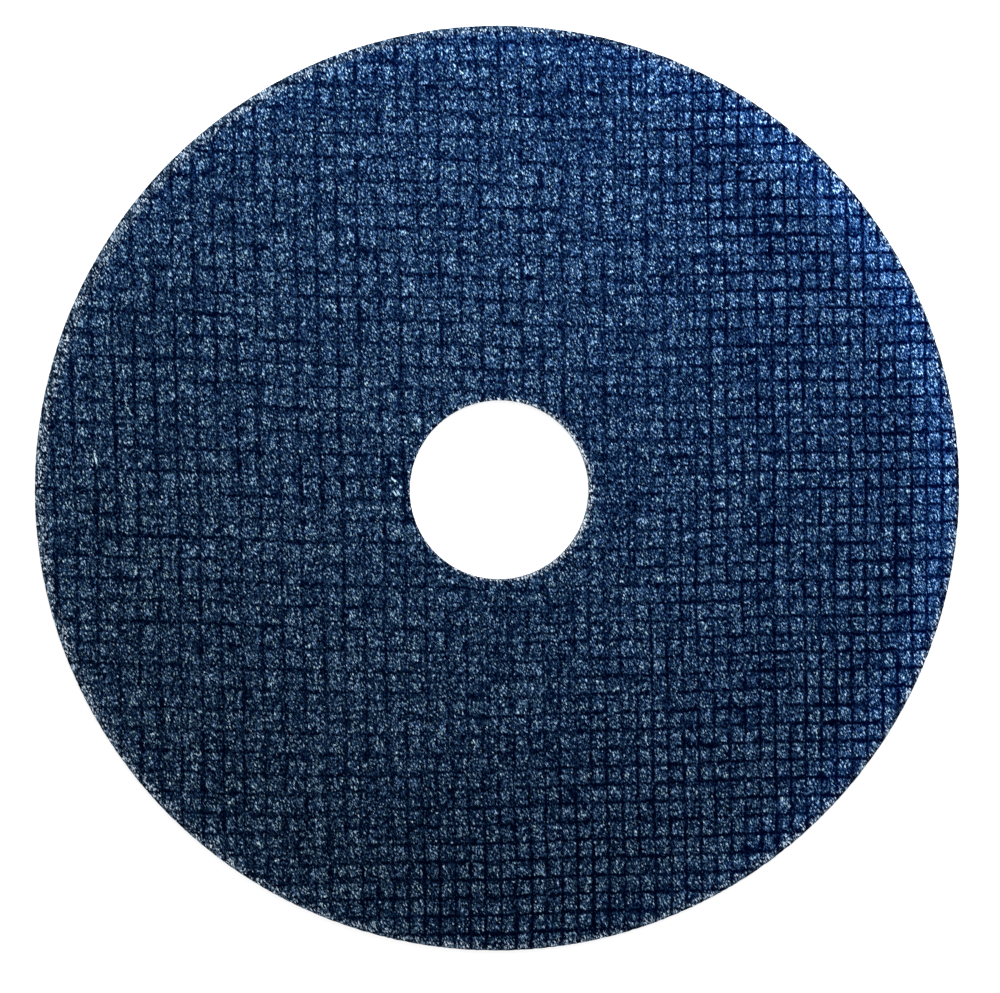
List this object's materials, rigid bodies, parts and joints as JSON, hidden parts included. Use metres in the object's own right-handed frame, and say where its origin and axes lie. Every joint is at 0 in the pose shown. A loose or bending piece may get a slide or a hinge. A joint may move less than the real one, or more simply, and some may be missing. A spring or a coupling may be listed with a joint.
{
  "type": "cut-off wheel",
  "caption": "Thin round abrasive cut-off wheel with a plain arbor hole and the woven imprint of its reinforcing mesh pressed into the upper face.",
  "frame": {"origin": "on the axis of the arbor hole, on the flat back face that the wheel lies on", "axes": "+Z along the axis of the hole, out of the face with the woven imprint; +X along the rows of the imprint"},
  "size_m": [0.115, 0.115, 0.0016],
  "materials": {
    "bonded_abrasive": "rough dark blue resin over abrasive grain and glass mesh"
  },
  "bodies": {
    "root": {"wheel": "bonded_abrasive"}
  },
  "joints": []
}
